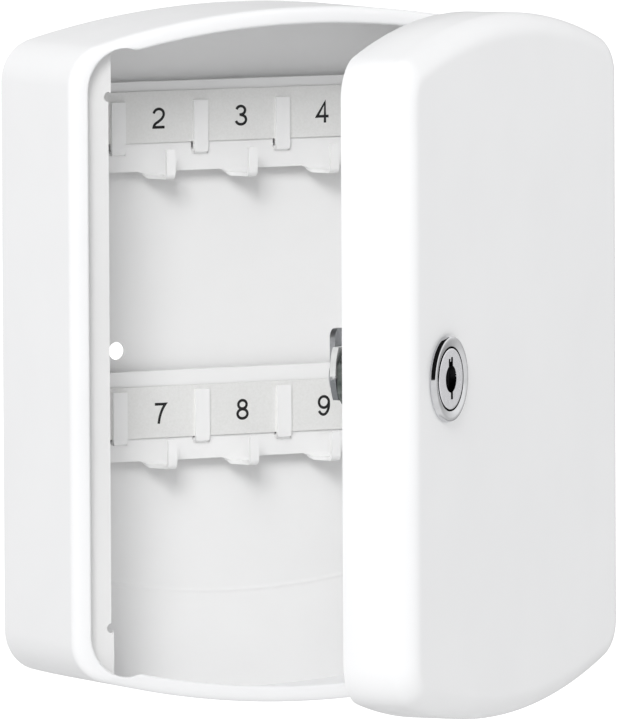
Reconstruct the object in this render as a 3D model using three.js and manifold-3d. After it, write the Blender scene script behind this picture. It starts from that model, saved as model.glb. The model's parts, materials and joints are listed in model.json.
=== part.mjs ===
// A wall-mounted key cabinet for ten keys, with its door standing open.
// Millimetres, +Z up. The back rests on a wall in the plane Y = 0 and the front faces -Y.
// X = 0 and Z = 0 are the middle of the back.

import * as THREE from 'three';
import { mergeVertices } from 'three/addons/utils/BufferGeometryUtils.js';
import Module from 'manifold-3d';

const wasm = await Module();
wasm.setup();

// ---- Driving dimensions ----

const WIDTH = 152;            // case and door, across
const HEIGHT = 193.6;         // from the top of the upper arch to the bottom of the lower one
const CASE_DEPTH = 43.2;
const DOOR_DEPTH = 20.2;
const SHUT_GAP = 0.6;         // between case and door when shut
const ARCH_RADIUS = 260;
const CORNER_RADIUS = 12;
const SHEET = 1;
const FIT = 0.3;              // clearance between touching pieces
const CASE_EDGE_RADIUS = 2;
const DOOR_EDGE_RADIUS = 5.2;

const LIP_WIDTH = 5.1;        // rolled front edge, at the sides
const OPENING_TOP = 92.2;     // the opening's arch, at the middle
const OPENING_CORNER_TOP = 87;
const OPENING_ARCH_HALF = 54.5;
const OPENING_ARCH_SPRING = 86.5;

const CREASE_TOP = 68.7;      // back plate's flat middle ends at this arched crease
const CREASE_RADIUS = 225;
const BORDER_RISE = 3.2;      // how far the borders come forward of the flat middle
const SCREW_HOLE_RADIUS = 2.5;
const SCREW_HOLE_HALF_PITCH = 37;

const CHANNEL_FACE_Y = -39;   // front of the two upright channels
const CHANNEL_HALF_HEIGHT = 73.5;
const STRIKE_X = -62.7;       // web of the channel at the lock's side
const HINGE_CHANNEL_X = 55.5;
const CHANNEL_EAR = 0.8;      // the faces' ends stand this far past the webs
const RELIEF_RADIUS = 1.35;
const CAM_SLOT_HALF = 5.2;    // height of the strike channel's slot, halved

const HOOK_CENTRE_X = -3.6;   // middle hook
const HOOK_PITCH = 26;
const HOOKS_PER_ROW = 5;
const ROW_PITCH = 81;
const RAIL_FRONT_Y = -5.5;
const RAIL_TOP = 75.3;        // upper row
const RAIL_BOTTOM = 50.2;
const RAIL_FLANGE = 2;        // folded back at the rail's top edge
const HOOK_ARM_BOTTOM = 48.2;
const HOOK_TIP = 56.6;
const HOOK_TONGUE_Y = -12.4;
const HOOK_WIDTH = 2.7;
const HOOK_ROOT_WIDTH = 11;
const CLIP_TOP = 69.8;
const CLIP_BOTTOM = 55.3;
const CLIP_WIDTH = 4.4;
const LABEL_HEIGHT = 14.4;
const LABEL_THICKNESS = 0.4;
const LABEL_BOTTOM_UPPER = 58.2;
const LABEL_BOTTOM_LOWER = -24.4;

const DOOR_OPEN_DEG = 38;
const HINGE_X = WIDTH / 2 - 0.1;
const HINGE_Y = -CASE_DEPTH - SHUT_GAP / 2;
const HINGE_Z = 55;
const KNUCKLE_RADIUS = 2.3;
const PIN_RADIUS = 1;
const KNUCKLE_LENGTH = 8.4;
const LEAF_THICKNESS = 1.2;

const LOCK_FROM_EDGE = 25.3;  // lock axis to the door's free edge
const ROSETTE_RADIUS = 11.9;
const PLUG_FACE_RADIUS = 8.3;
const PLUG_RADIUS = 6.6;
const BARREL_RADIUS = 9.3;
const BARREL_FLAT = 8;        // half distance across the barrel's two flats
const BARREL_END = -8.7;      // depth behind the door's rear edge plane
const CAM_FRONT = -11;
const CAM_THICKNESS = 1.6;
const CAM_REACH = 13;
const CAM_HALF_WIDTH = 4;
const CAM_TIP_RADIUS = 2.6;
const CAM_HUB_RADIUS = 4.8;
const STOP_HALF_WIDTH = 8.5;
const STOP_HALF_HEIGHT = 7.2;
const STOP_RISE = 1;          // the stop plate's middle stands this far above the axis
const STOP_BOW_RADIUS = 12.9;
const WAFERS = 5;

// ---- Materials ----

const COATED_STEEL = { color: 0xf1f2f3, roughness: 0.42, metalness: 0 };
const COATED_INSIDE = { color: 0xeceded, roughness: 0.5, metalness: 0 };
const CHROME = { color: 0xd8dade, roughness: 0.12, metalness: 1 };
const ZINC = { color: 0xa9acb4, roughness: 0.35, metalness: 1 };
const BRASS = { color: 0xb9974f, roughness: 0.35, metalness: 1 };
const PAPER = { color: 0xe9e8e3, roughness: 0.8, metalness: 0 };

// ---- Solids ----

const ALONG_Y = new THREE.Matrix4().makeBasis(
  new THREE.Vector3(1, 0, 0),
  new THREE.Vector3(0, 0, 1),
  new THREE.Vector3(0, -1, 0),
);
const ALONG_X = new THREE.Matrix4().makeBasis(
  new THREE.Vector3(0, 1, 0),
  new THREE.Vector3(0, 0, 1),
  new THREE.Vector3(1, 0, 0),
);

function signedVolume(points, triangles) {
  const [a, b, c] = [new THREE.Vector3(), new THREE.Vector3(), new THREE.Vector3()];
  let sum = 0;
  for (let i = 0; i < triangles.length; i += 3) {
    a.fromArray(points, 3 * triangles[i]);
    b.fromArray(points, 3 * triangles[i + 1]);
    c.fromArray(points, 3 * triangles[i + 2]);
    sum += a.dot(b.cross(c));
  }
  return sum;
}

function solid(geometry) {
  const bare = new THREE.BufferGeometry();
  bare.setAttribute('position', geometry.getAttribute('position').clone());
  bare.setIndex(geometry.getIndex());
  const merged = mergeVertices(bare, 1e-4);
  const vertProperties = new Float32Array(merged.getAttribute('position').array);
  const triVerts = new Uint32Array(merged.getIndex().array);
  if (signedVolume(vertProperties, triVerts) < 0) triVerts.reverse();
  return new wasm.Manifold(new wasm.Mesh({ numProp: 3, vertProperties, triVerts }));
}

function geometryOf(manifold) {
  const mesh = manifold.getMesh();
  const geometry = new THREE.BufferGeometry();
  geometry.setAttribute('position', new THREE.BufferAttribute(mesh.vertProperties, 3));
  geometry.setIndex(new THREE.BufferAttribute(mesh.triVerts, 1));
  geometry.computeVertexNormals();
  return geometry;
}

// A front-view outline, X across and Z up, made solid from yBack forward to yFront.
function frontPrism(shape, yBack, yFront, curveSegments = 6) {
  const depth = yBack - yFront;
  const geometry = new THREE.ExtrudeGeometry(shape, { depth, bevelEnabled: false, curveSegments });
  geometry.applyMatrix4(ALONG_Y);
  geometry.translate(0, yBack, 0);
  return solid(geometry);
}

// The same with its front edge rounded; the back end is cut square.
function roundedFrontPrism(shape, yBack, yFront, radius, bevelSegments) {
  const depth = yBack - yFront;
  const geometry = new THREE.ExtrudeGeometry(shape, {
    depth,
    bevelEnabled: true,
    bevelThickness: radius,
    bevelSize: radius,
    bevelOffset: -radius,
    bevelSegments,
    curveSegments: 6,
  });
  geometry.applyMatrix4(ALONG_Y);
  geometry.translate(0, yBack + radius, 0);
  const behind = box(-WIDTH, WIDTH, yBack, yBack + 4 * radius, -HEIGHT, HEIGHT);
  return solid(geometry).subtract(behind);
}

// A side-view outline, Y across and Z up, made solid from x0 to x1.
function sidePrism(shape, x0, x1) {
  const depth = x1 - x0;
  const geometry = new THREE.ExtrudeGeometry(shape, { depth, bevelEnabled: false, curveSegments: 4 });
  geometry.applyMatrix4(ALONG_X);
  geometry.translate(x0, 0, 0);
  return solid(geometry);
}

// A plan-view outline, X and Y, made solid from z0 up to z1.
function planPrism(shape, z0, z1) {
  const depth = z1 - z0;
  const geometry = new THREE.ExtrudeGeometry(shape, { depth, bevelEnabled: false, curveSegments: 5 });
  geometry.translate(0, 0, z0);
  return solid(geometry);
}

// The two X values, and the two Y values, come in either order.
function box(x0, x1, y0, y1, z0, z1) {
  const geometry = new THREE.BoxGeometry(Math.abs(x1 - x0), Math.abs(y1 - y0), z1 - z0);
  geometry.translate((x0 + x1) / 2, (y0 + y1) / 2, (z0 + z1) / 2);
  return solid(geometry);
}

function uprightCylinder(radius, x, y, z0, z1, segments = 24) {
  const geometry = new THREE.CylinderGeometry(radius, radius, z1 - z0, segments);
  geometry.rotateX(Math.PI / 2);
  geometry.translate(x, y, (z0 + z1) / 2);
  return solid(geometry);
}

// A cylinder along Y, round (x, z).
function levelCylinder(radius, x, z, y0, y1, segments = 32) {
  const geometry = new THREE.CylinderGeometry(radius, radius, y1 - y0, segments);
  geometry.translate(x, (y0 + y1) / 2, z);
  return solid(geometry);
}

function named(name, manifold, material) {
  const mesh = new THREE.Mesh(geometryOf(manifold), new THREE.MeshStandardMaterial(material));
  mesh.name = name;
  return mesh;
}

// ---- Outlines shared by case and door ----

// The arched outline, moved inwards by inset.
function archedOutline(inset) {
  const cornerX = WIDTH / 2 - CORNER_RADIUS;
  const archZ = HEIGHT / 2 - ARCH_RADIUS;
  const reach = ARCH_RADIUS - CORNER_RADIUS;
  const cornerZ = archZ + Math.sqrt(reach * reach - cornerX * cornerX);
  const turn = Math.atan2(cornerZ - archZ, cornerX);
  const shape = new THREE.Shape();
  for (const side of [1, -1]) {
    const start = side > 0 ? 0 : Math.PI;
    const corner = CORNER_RADIUS - inset;
    shape.absarc(side * cornerX, side * cornerZ, corner, start, start + turn);
    shape.absarc(0, side * archZ, ARCH_RADIUS - inset, start + turn, start + Math.PI - turn);
    shape.absarc(-side * cornerX, side * cornerZ, corner, start + Math.PI - turn, start + Math.PI);
  }
  return shape;
}

// The front opening: round corners, then a small wave into the flatter arch.
function openingOutline() {
  const halfWidth = WIDTH / 2 - LIP_WIDTH;
  const cornerX = halfWidth - CORNER_RADIUS;
  const cornerZ = OPENING_CORNER_TOP - CORNER_RADIUS;
  const rise = OPENING_TOP - OPENING_ARCH_SPRING;
  const radius = (OPENING_ARCH_HALF ** 2 + rise ** 2) / (2 * rise);
  const archZ = OPENING_TOP - radius;
  const turn = Math.atan2(OPENING_ARCH_SPRING - archZ, OPENING_ARCH_HALF);
  const slope = OPENING_ARCH_HALF / radius;
  const handle = 1.6;
  const shape = new THREE.Shape();
  for (const side of [1, -1]) {
    const start = side > 0 ? 0 : Math.PI;
    const top = side * OPENING_CORNER_TOP;
    const springX = side * OPENING_ARCH_HALF;
    const springZ = side * OPENING_ARCH_SPRING;
    const waveX = side * handle;
    const waveZ = side * handle * slope;
    const cornerEnd = side * cornerX;
    shape.absarc(cornerEnd, side * cornerZ, CORNER_RADIUS, start, start + Math.PI / 2);
    shape.bezierCurveTo(cornerEnd - waveX, top, springX + waveX, springZ - waveZ, springX, springZ);
    shape.absarc(0, side * archZ, radius, start + turn, start + Math.PI - turn);
    shape.bezierCurveTo(-springX - waveX, springZ - waveZ, waveX - cornerEnd, top, -cornerEnd, top);
    shape.absarc(-cornerEnd, side * cornerZ, CORNER_RADIUS, start + Math.PI / 2, start + Math.PI);
  }
  return shape;
}

// ---- Case ----

// Room at the front edges for one hinge's knuckles; front and back are distances from the hinge axis.
function hingeNotch(z) {
  const reach = 2.9;
  const half = 1.5 * KNUCKLE_LENGTH + 2.4;
  return box(HINGE_X - 3.3, HINGE_X + 4, HINGE_Y - reach, HINGE_Y + reach, z - half, z + half);
}

function caseShell() {
  const outer = roundedFrontPrism(archedOutline(0), 0, -CASE_DEPTH, CASE_EDGE_RADIUS, 3);
  const innerRadius = CASE_EDGE_RADIUS - SHEET;
  const room = roundedFrontPrism(archedOutline(SHEET), 1, SHEET - CASE_DEPTH, innerRadius, 2);
  const opening = frontPrism(openingOutline(), -CASE_DEPTH / 2, -CASE_DEPTH - 1);
  return outer.subtract(room).subtract(opening)
    .subtract(hingeNotch(HINGE_Z)).subtract(hingeNotch(-HINGE_Z));
}

// A sheet whose middle is flat on the wall and whose top and bottom borders slope forward.
function backPlate() {
  const columns = 24;
  const geometry = new THREE.BoxGeometry(WIDTH, 3, SHEET, columns, 3, 1);
  const position = geometry.getAttribute('position');
  const point = new THREE.Vector3();
  for (let i = 0; i < position.count; i += 1) {
    point.fromBufferAttribute(position, i);
    const onEdge = Math.abs(point.y) > 1;
    const fromMiddle = point.x - HOOK_CENTRE_X;
    const sag = CREASE_RADIUS - Math.sqrt(CREASE_RADIUS ** 2 - fromMiddle ** 2);
    const z = onEdge ? HEIGHT / 2 + 2 : CREASE_TOP - sag;
    const forward = onEdge ? BORDER_RISE : 0;
    position.setXYZ(i, point.x, -SHEET / 2 + point.z - forward, Math.sign(point.y) * z);
  }
  const sheet = solid(geometry);
  const within = frontPrism(archedOutline(SHEET + FIT), 1, -10);
  let plate = sheet.intersect(within);
  for (const side of [-1, 1]) {
    const x = HOOK_CENTRE_X + side * SCREW_HOLE_HALF_PITCH;
    plate = plate.subtract(levelCylinder(SCREW_HOLE_RADIUS, x, 0, -5, 5));
  }
  return plate;
}

// An upright angle: a face against the case's side and a web going back to the back plate.
// toSide is -1 at the left and 1 at the right; webX is the web's visible side.
function uprightChannel(webX, toSide) {
  const wallX = toSide * (WIDTH / 2 - SHEET - FIT);
  const back = CHANNEL_FACE_Y + SHEET;
  const short = CHANNEL_HALF_HEIGHT;
  const webHalf = short - RELIEF_RADIUS;
  const faceEdge = webX - toSide * CHANNEL_EAR;
  const web = box(webX, webX + toSide * SHEET, CHANNEL_FACE_Y, -SHEET - FIT, -webHalf, webHalf);
  const betweenEars = box(faceEdge, webX, CHANNEL_FACE_Y - 1, back + 1, -short, short);
  let channel = box(faceEdge, wallX, CHANNEL_FACE_Y, back, -HEIGHT / 2, HEIGHT / 2)
    .intersect(frontPrism(archedOutline(SHEET + FIT), 0, -CASE_DEPTH))
    .subtract(betweenEars)
    .add(web);
  for (const end of [-1, 1]) {
    const relief = levelCylinder(RELIEF_RADIUS, webX, end * short, CHANNEL_FACE_Y - 1, back + 1, 16);
    channel = channel.subtract(relief);
  }
  return channel.subtract(backPlate().translate([0, -FIT, 0]));
}

// The channel at the lock's side, with the slot that the cam's tip turns into.
function strikeChannel() {
  const play = 2 * FIT;
  const front = yAt(CAM_FRONT) - play;
  const back = yAt(CAM_FRONT - CAM_THICKNESS) + play;
  const slot = box(STRIKE_X - 2 * SHEET, STRIKE_X + SHEET, front, back, -CAM_SLOT_HALF, CAM_SLOT_HALF);
  return uprightChannel(STRIKE_X, -1).subtract(slot);
}

// The channel at the hinges' side, cut back behind the hinges' leaves.
function hingeChannel() {
  const wallX = WIDTH / 2 - SHEET;
  const inner = wallX - 2 * FIT - LEAF_THICKNESS;
  const half = 1.5 * KNUCKLE_LENGTH + 2 * FIT;
  let channel = uprightChannel(HINGE_CHANNEL_X, 1);
  for (const z of [HINGE_Z, -HINGE_Z]) {
    channel = channel.subtract(box(inner, wallX, -CASE_DEPTH, CHANNEL_FACE_Y / 2, z - half, z + half));
  }
  return channel;
}

// ---- Hook rails; heights are those of the upper row ----

function hookX(index) {
  return HOOK_CENTRE_X + (index - (HOOKS_PER_ROW - 1) / 2) * HOOK_PITCH;
}

// One hook: a neck at the rail's lower edge, an arm coming forward and an upturned tongue.
function hook(x) {
  const back = RAIL_FRONT_Y + SHEET;
  const front = HOOK_TONGUE_Y - SHEET;
  const armTop = HOOK_ARM_BOTTOM + SHEET;
  const bend = 1.6;
  const innerBend = 0.6;
  const side = new THREE.Shape();
  side.moveTo(back, RAIL_BOTTOM + 1);
  side.lineTo(back, HOOK_ARM_BOTTOM + bend);
  side.quadraticCurveTo(back, HOOK_ARM_BOTTOM, back - bend, HOOK_ARM_BOTTOM);
  side.lineTo(front + bend, HOOK_ARM_BOTTOM);
  side.quadraticCurveTo(front, HOOK_ARM_BOTTOM, front, HOOK_ARM_BOTTOM + bend);
  side.lineTo(front, HOOK_TIP);
  side.lineTo(HOOK_TONGUE_Y, HOOK_TIP);
  side.lineTo(HOOK_TONGUE_Y, HOOK_ARM_BOTTOM + bend);
  side.quadraticCurveTo(HOOK_TONGUE_Y, armTop, HOOK_TONGUE_Y + innerBend, armTop);
  side.lineTo(RAIL_FRONT_Y - innerBend, armTop);
  side.quadraticCurveTo(RAIL_FRONT_Y, armTop, RAIL_FRONT_Y, HOOK_ARM_BOTTOM + bend);
  side.lineTo(RAIL_FRONT_Y, RAIL_BOTTOM + 1);
  side.closePath();

  const root = HOOK_ROOT_WIDTH / 2;
  const half = HOOK_WIDTH / 2;
  const taperY = RAIL_FRONT_Y - 4.2;
  const plan = new THREE.Shape();
  plan.moveTo(-root, back + 1);
  plan.lineTo(-root, back);
  plan.quadraticCurveTo(-half, RAIL_FRONT_Y, -half, taperY);
  plan.lineTo(-half, front - 1);
  plan.lineTo(half, front - 1);
  plan.lineTo(half, taperY);
  plan.quadraticCurveTo(half, RAIL_FRONT_Y, root, back);
  plan.lineTo(root, back + 1);
  plan.closePath();

  const elevation = new THREE.Shape();
  const shoulder = HOOK_TIP - half;
  elevation.moveTo(-root, HOOK_ARM_BOTTOM - 1);
  elevation.lineTo(root, HOOK_ARM_BOTTOM - 1);
  elevation.lineTo(root, RAIL_BOTTOM + 1);
  elevation.lineTo(half, RAIL_BOTTOM + 1);
  elevation.lineTo(half, shoulder);
  elevation.absarc(0, shoulder, half, 0, Math.PI);
  elevation.lineTo(-half, RAIL_BOTTOM + 1);
  elevation.lineTo(-root, RAIL_BOTTOM + 1);
  elevation.closePath();

  const strip = sidePrism(side, -root, root);
  const trimmed = strip
    .intersect(planPrism(plan, HOOK_ARM_BOTTOM - 1, HOOK_TIP + 1))
    .intersect(frontPrism(elevation, back + 1, front - 1, 5));
  return trimmed.translate([x, 0, 0]);
}

// A clip lanced from the rail: its foot comes forward and its tongue stands in front of the label.
function clip(x) {
  const tongueBack = RAIL_FRONT_Y - 1;
  const front = tongueBack - 0.9;
  const foot = 0.9;
  const half = CLIP_WIDTH / 2;
  const round = 1.1;
  const side = new THREE.Shape();
  side.moveTo(RAIL_FRONT_Y + SHEET, CLIP_BOTTOM);
  side.lineTo(front + 0.6, CLIP_BOTTOM);
  side.quadraticCurveTo(front, CLIP_BOTTOM, front, CLIP_BOTTOM + 0.8);
  side.lineTo(front, CLIP_TOP);
  side.lineTo(tongueBack, CLIP_TOP);
  side.lineTo(tongueBack, CLIP_BOTTOM + foot);
  side.lineTo(RAIL_FRONT_Y + SHEET, CLIP_BOTTOM + foot);
  side.closePath();
  const face = new THREE.Shape();
  face.moveTo(half, CLIP_TOP + 1);
  face.lineTo(-half, CLIP_TOP + 1);
  face.lineTo(-half, CLIP_BOTTOM + round);
  face.absarc(round - half, CLIP_BOTTOM + round, round, Math.PI, 1.5 * Math.PI);
  face.absarc(half - round, CLIP_BOTTOM + round, round, 1.5 * Math.PI, 2 * Math.PI);
  face.closePath();
  return sidePrism(side, -half, half).intersect(frontPrism(face, 0, -20, 3)).translate([x, 0, 0]);
}

function hookRail() {
  const left = STRIKE_X + FIT;
  const right = HINGE_CHANNEL_X - FIT;
  const back = RAIL_FRONT_Y + SHEET;
  let rail = box(left, right, RAIL_FRONT_Y, back, RAIL_BOTTOM, RAIL_TOP);
  rail = rail.add(box(left, right, RAIL_FRONT_Y, RAIL_FRONT_Y + RAIL_FLANGE, RAIL_TOP - SHEET, RAIL_TOP));
  for (let i = 0; i < HOOKS_PER_ROW - 1; i += 1) {
    const x = (hookX(i) + hookX(i + 1)) / 2;
    const half = CLIP_WIDTH / 2 + 0.3;
    const window = box(x - half, x + half, RAIL_FRONT_Y - 1, back + 1, CLIP_BOTTOM + 0.5, CLIP_TOP + 0.6);
    rail = rail.subtract(window).add(clip(x));
  }
  for (let i = 0; i < HOOKS_PER_ROW; i += 1) {
    rail = rail.add(hook(hookX(i)));
  }
  for (const i of [0, 2, 4]) {
    const x = hookX(i);
    rail = rail.add(levelCylinder(3, x, RAIL_BOTTOM + 7, back - 0.5, -SHEET - FIT, 20));
  }
  return rail.intersect(box(left, right, -20, 0, 0, HEIGHT / 2));
}

function labelStrip(bottom) {
  const front = RAIL_FRONT_Y - FIT - LABEL_THICKNESS;
  const left = STRIKE_X + 2 * FIT;
  const right = HINGE_CHANNEL_X - 2 * FIT;
  return box(left, right, front, RAIL_FRONT_Y - FIT, bottom, bottom + LABEL_HEIGHT);
}

// ---- Hinges, in the shut door's place ----

// The leaf's plate lies inside the side wall; toFront is 1 for the door's leaf and -1 for the case's.
function leafPlate(z, toFront, reach, clearZ0, clearZ1) {
  const outerX = WIDTH / 2 - SHEET - FIT;
  const half = 1.5 * KNUCKLE_LENGTH + FIT;
  const end = HINGE_Y - toFront * reach;
  const plate = box(outerX - LEAF_THICKNESS, outerX, HINGE_Y, end, z - half, z + half);
  const around = uprightCylinder(KNUCKLE_RADIUS + 2 * FIT, HINGE_X, HINGE_Y, z + clearZ0, z + clearZ1);
  return plate.subtract(around);
}

function knuckle(z0, z1) {
  return uprightCylinder(KNUCKLE_RADIUS, HINGE_X, HINGE_Y, z0, z1);
}

function knuckleBore(z) {
  const half = 2 * KNUCKLE_LENGTH;
  return uprightCylinder(PIN_RADIUS + FIT, HINGE_X, HINGE_Y, z - half, z + half, 20);
}

function caseLeaf(z) {
  const middle = KNUCKLE_LENGTH / 2 + FIT;
  const end = 1.5 * KNUCKLE_LENGTH + FIT;
  return leafPlate(z, -1, 8.4, -middle, middle)
    .add(knuckle(z + middle, z + end))
    .add(knuckle(z - end, z - middle))
    .subtract(knuckleBore(z));
}

function doorLeaf(z) {
  const half = KNUCKLE_LENGTH / 2;
  const far = 2 * KNUCKLE_LENGTH;
  const plate = leafPlate(z, 1, 12, half, far).intersect(leafPlate(z, 1, 12, -far, -half));
  return plate.add(knuckle(z - half, z + half)).subtract(knuckleBore(z));
}

function hingePin(z) {
  const end = 1.5 * KNUCKLE_LENGTH + FIT;
  const headRadius = 1.8;
  const shank = uprightCylinder(PIN_RADIUS, HINGE_X, HINGE_Y, z - end - 1, z + end + 1, 20);
  const top = uprightCylinder(headRadius, HINGE_X, HINGE_Y, z + end + FIT, z + end + 1.2, 20);
  const bottom = uprightCylinder(headRadius, HINGE_X, HINGE_Y, z - end - 1.2, z - end - FIT, 20);
  return shank.add(top).add(bottom);
}

// ---- Door and lock, drawn shut; depth v is counted forward from the door's rear edge ----

const DOOR_BACK_Y = -CASE_DEPTH - SHUT_GAP;
const LOCK_X = -WIDTH / 2 + LOCK_FROM_EDGE;

function yAt(v) {
  return DOOR_BACK_Y - v;
}

// A round piece on the lock's axis, from its profile of [radius, v] points.
function turned(profile, segments = 40) {
  const points = profile.map(([radius, v]) => new THREE.Vector2(radius, yAt(v)));
  const geometry = new THREE.LatheGeometry(points, segments);
  geometry.translate(LOCK_X, 0, 0);
  return solid(geometry);
}

// A box on the lock's axis: half width, height range and depth range.
function lockBox(halfX, z0, z1, v0, v1) {
  return box(LOCK_X - halfX, LOCK_X + halfX, yAt(v1), yAt(v0), z0, z1);
}

function barrelSection(radius, flat, v0, v1) {
  const round = levelCylinder(radius, LOCK_X, 0, yAt(v1), yAt(v0), 40);
  return round.intersect(lockBox(flat, -radius - 1, radius + 1, v0 - 1, v1 + 1));
}

function doorShell() {
  const front = yAt(DOOR_DEPTH);
  const outer = roundedFrontPrism(archedOutline(0), DOOR_BACK_Y, front, DOOR_EDGE_RADIUS, 5);
  const innerRadius = DOOR_EDGE_RADIUS - SHEET;
  const room = roundedFrontPrism(archedOutline(SHEET), DOOR_BACK_Y + 1, front + SHEET, innerRadius, 4);
  const lockHole = barrelSection(BARREL_RADIUS + FIT, BARREL_FLAT + FIT, DOOR_DEPTH - 3, DOOR_DEPTH + 2);
  return outer.subtract(room).subtract(lockHole)
    .subtract(hingeNotch(HINGE_Z)).subtract(hingeNotch(-HINGE_Z));
}

function lockHousing() {
  const seat = DOOR_DEPTH + FIT;
  const rim = turned([
    [0, seat], [ROSETTE_RADIUS, seat], [ROSETTE_RADIUS, seat + 0.5], [11.5, seat + 1.3], [10.7, seat + 2],
    [9.7, seat + 2.3], [9.1, seat + 2.2], [8.7, seat + 1.8], [0, seat + 1.8],
  ]);
  const barrel = barrelSection(BARREL_RADIUS, BARREL_FLAT, BARREL_END, seat + 0.5);
  const bore = turned([
    [0, BARREL_END - 1], [PLUG_RADIUS + FIT, BARREL_END - 1], [PLUG_RADIUS + FIT, seat - 0.6],
    [PLUG_FACE_RADIUS + FIT, seat - 0.6], [PLUG_FACE_RADIUS + FIT, seat + 4], [0, seat + 4],
  ]);
  return rim.add(barrel).subtract(bore);
}

function lockNut() {
  const across = 24;
  const nut = new THREE.CylinderGeometry(across / Math.sqrt(3), across / Math.sqrt(3), 4, 6);
  const middle = DOOR_DEPTH - SHEET - FIT - 2;
  nut.translate(LOCK_X, yAt(middle), 0);
  return solid(nut).subtract(barrelSection(BARREL_RADIUS + FIT, BARREL_FLAT + FIT, middle - 4, middle + 4));
}

const PLUG_FRONT = DOOR_DEPTH + FIT + 2.4;
const PLUG_REAR = BARREL_END + 0.2;
const DRIVE_HALF = 2.2;       // the plug's square tail
const SCREW_RADIUS = 1.25;
const SCREW_HEAD_RADIUS = 2.9;
const SCREW_HEAD_HEIGHT = 0.6;

function waferDepth(index) {
  return 3 + 2.6 * index;
}

function lockPlug() {
  const face = DOOR_DEPTH + FIT - 0.3;
  const body = turned([
    [0, PLUG_REAR], [PLUG_RADIUS, PLUG_REAR], [PLUG_RADIUS, face], [PLUG_FACE_RADIUS, face],
    [PLUG_FACE_RADIUS, PLUG_FRONT - 0.9], [PLUG_FACE_RADIUS - 0.7, PLUG_FRONT - 0.3],
    [PLUG_FACE_RADIUS - 2, PLUG_FRONT], [0, PLUG_FRONT],
  ]);
  const tail = lockBox(DRIVE_HALF, -DRIVE_HALF, DRIVE_HALF, CAM_FRONT - CAM_THICKNESS + 0.2, PLUG_REAR + 1);
  const dishFloor = PLUG_FRONT - 1.4;
  const clear = PLUG_FRONT + 1;
  const dish = turned([[0, dishFloor], [2.6, dishFloor], [3.3, clear], [0, clear]], 24);
  const slotTop = lockBox(0.8, 0, 5.6, 1, PLUG_FRONT + 1);
  const slotBottom = lockBox(0.8, -5.6, 0, 1, PLUG_FRONT + 1).translate([-0.5, 0, 0]);
  let plug = body.add(tail).subtract(dish).subtract(slotTop).subtract(slotBottom);
  for (let i = 0; i < WAFERS; i += 1) {
    const v = waferDepth(i);
    plug = plug.subtract(lockBox(3.3, -5.3, 5.3, v - 0.8, v + 0.8));
  }
  const thread = levelCylinder(SCREW_RADIUS + FIT, LOCK_X, 0, yAt(-5), yAt(-20), 20);
  return plug.subtract(thread);
}

function lockWafer(index) {
  const v = waferDepth(index);
  const plate = lockBox(3, -5, 5, v - 0.5, v + 0.5);
  const lift = 0.4 * ((index * 2) % 3 - 1);
  return plate.subtract(lockBox(1.7, -2.6 + lift, 2.6 + lift, v - 1, v + 1));
}

function driveHole(v0, v1) {
  const half = DRIVE_HALF + FIT;
  return lockBox(half, -half, half, v0, v1);
}

// The stop washer is a plate with bowed sides and flat ends.
function stopWasher() {
  const front = BARREL_END - FIT;
  const rear = CAM_FRONT + FIT;
  const bow = Math.asin(STOP_HALF_HEIGHT / STOP_BOW_RADIUS);
  const centre = STOP_BOW_RADIUS - STOP_HALF_WIDTH;
  const outline = new THREE.Shape();
  outline.absarc(-centre, STOP_RISE, STOP_BOW_RADIUS, -bow, bow);
  outline.absarc(centre, STOP_RISE, STOP_BOW_RADIUS, Math.PI - bow, Math.PI + bow);
  outline.closePath();
  const plate = frontPrism(outline, yAt(rear), yAt(front), 10).translate([LOCK_X, 0, 0]);
  return plate.subtract(driveHole(rear - 1, front + 1));
}

// The cam is a bar with a rounded tip. It points up when the lock is undone.
function lockCam() {
  const shoulder = CAM_REACH - CAM_TIP_RADIUS;
  const corner = CAM_HALF_WIDTH - CAM_TIP_RADIUS;
  const bar = new THREE.Shape();
  bar.moveTo(-CAM_HALF_WIDTH, 0);
  bar.lineTo(CAM_HALF_WIDTH, 0);
  bar.absarc(corner, shoulder, CAM_TIP_RADIUS, 0, Math.PI / 2);
  bar.absarc(-corner, shoulder, CAM_TIP_RADIUS, Math.PI / 2, Math.PI);
  bar.closePath();
  const rear = CAM_FRONT - CAM_THICKNESS;
  const hub = levelCylinder(CAM_HUB_RADIUS, LOCK_X, 0, yAt(CAM_FRONT), yAt(rear), 32);
  const finger = frontPrism(bar, yAt(rear), yAt(CAM_FRONT), 6).translate([LOCK_X, 0, 0]);
  return hub.add(finger).subtract(driveHole(rear - 1, CAM_FRONT + 1));
}

function camScrew() {
  const seat = CAM_FRONT - CAM_THICKNESS - FIT;
  const top = seat - SCREW_HEAD_HEIGHT;
  const tip = -6;
  const screw = turned([
    [0, top], [SCREW_HEAD_RADIUS - 0.3, top], [SCREW_HEAD_RADIUS, top + 0.3], [SCREW_HEAD_RADIUS, seat],
    [SCREW_RADIUS, seat], [SCREW_RADIUS, tip], [0, tip],
  ], 24);
  const slotHalf = 0.3;
  const slotReach = 1.7;
  const slotFloor = top + SCREW_HEAD_HEIGHT / 2;
  const across = lockBox(slotReach, -slotHalf, slotHalf, top - 1, slotFloor);
  const upright = lockBox(slotHalf, -slotReach, slotReach, top - 1, slotFloor);
  return screw.subtract(across).subtract(upright);
}

// ---- Assembly ----

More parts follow.
